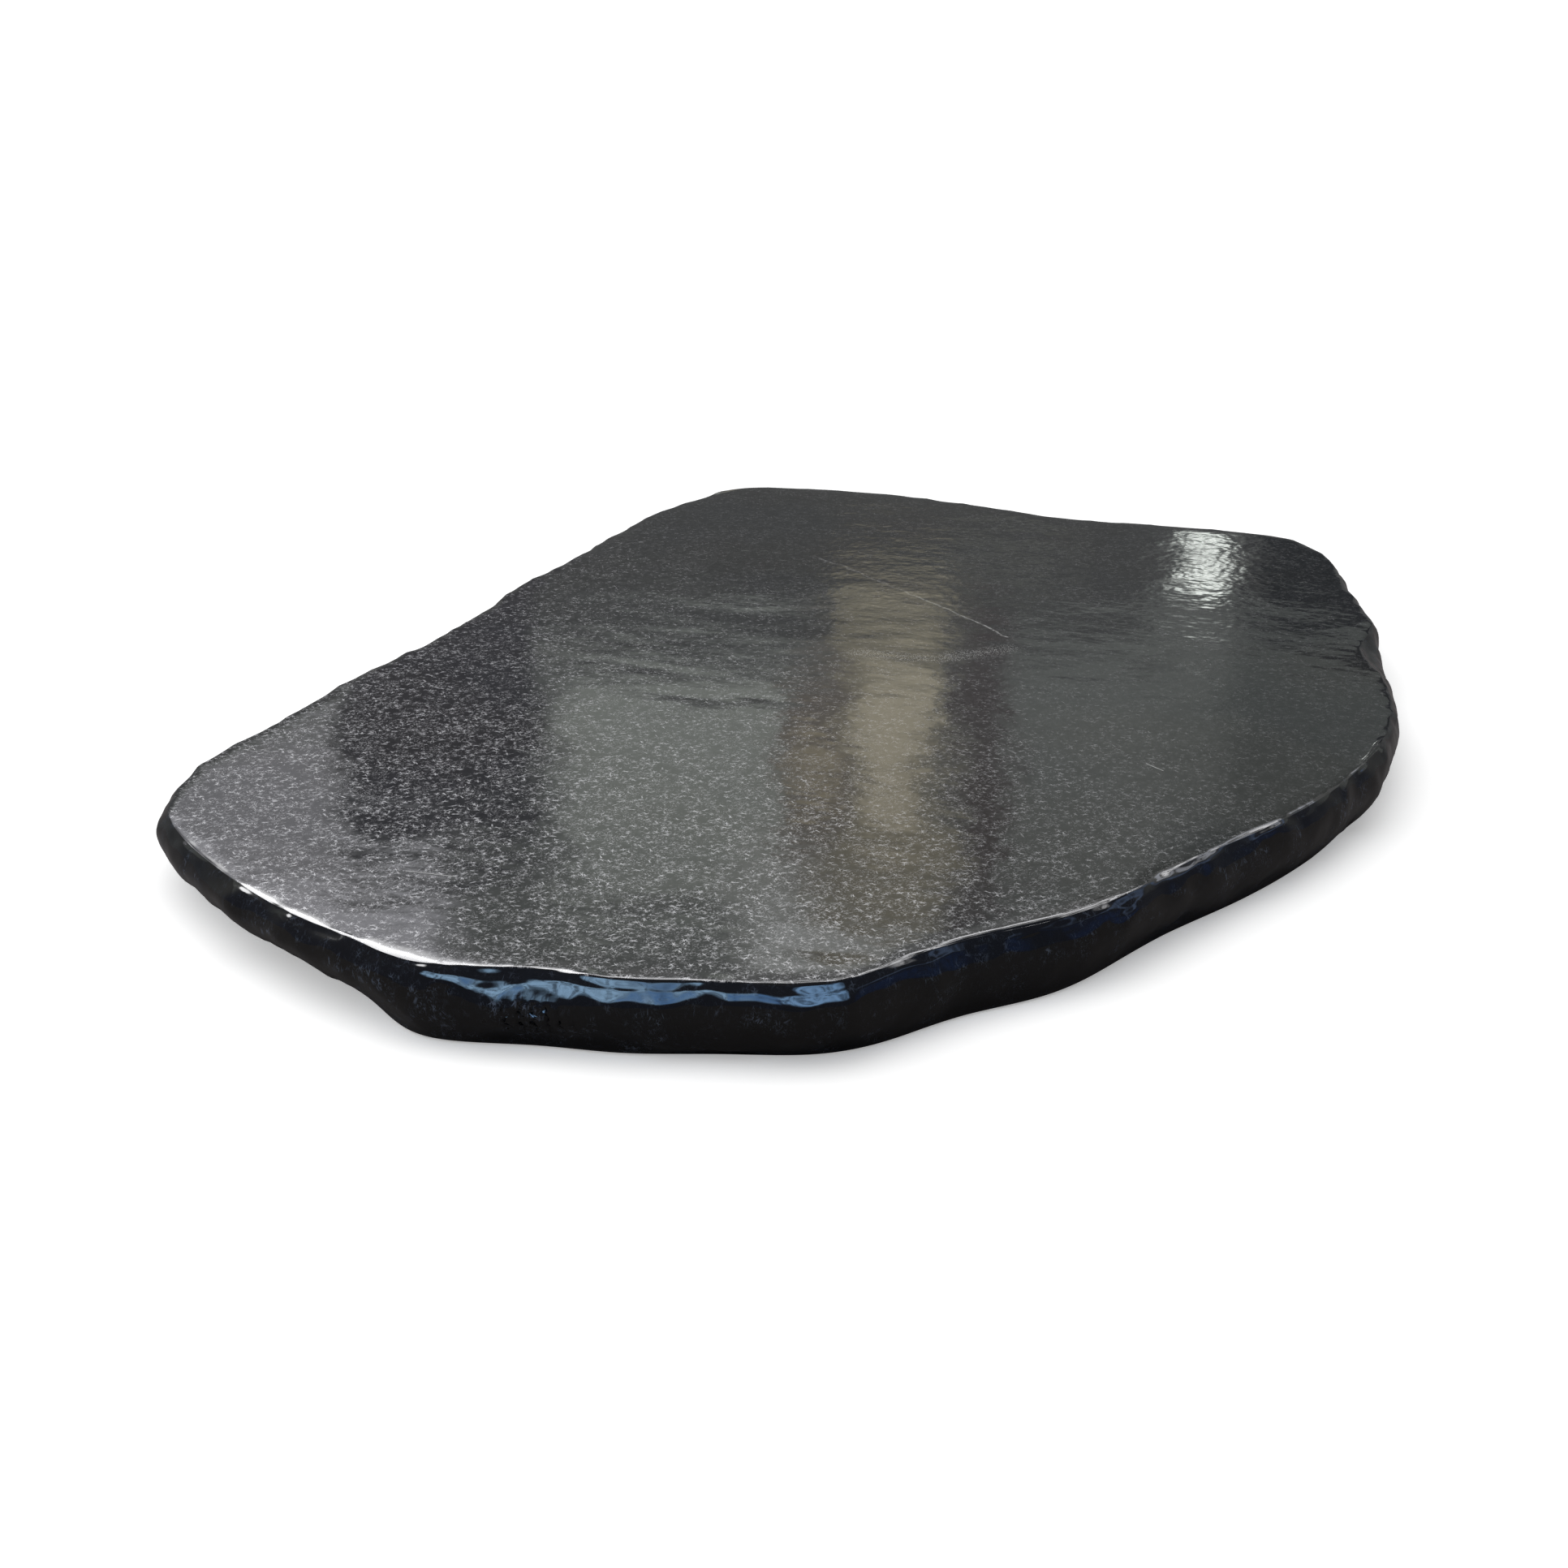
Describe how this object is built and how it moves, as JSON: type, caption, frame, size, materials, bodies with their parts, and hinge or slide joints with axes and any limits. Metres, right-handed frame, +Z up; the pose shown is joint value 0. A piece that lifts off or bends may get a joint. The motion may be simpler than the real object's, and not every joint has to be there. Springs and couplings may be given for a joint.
{
  "type": "basalt massage slab",
  "caption": "Large polished natural-edge stone slab to lie on for massage, flat on top with a ground bevel and an undercut hand-worked wall.",
  "frame": {"origin": "middle of the slab's box, on the face it rests on", "axes": "+X along the slab's length, +Y across it, +Z up out of the polished top"},
  "size_m": [1.9272, 1.278, 0.088],
  "materials": {
    "polished_basalt": "polished near-black basalt with fine pale feldspar needles"
  },
  "bodies": {
    "root": {"basalt_slab": "polished_basalt"}
  },
  "joints": []
}
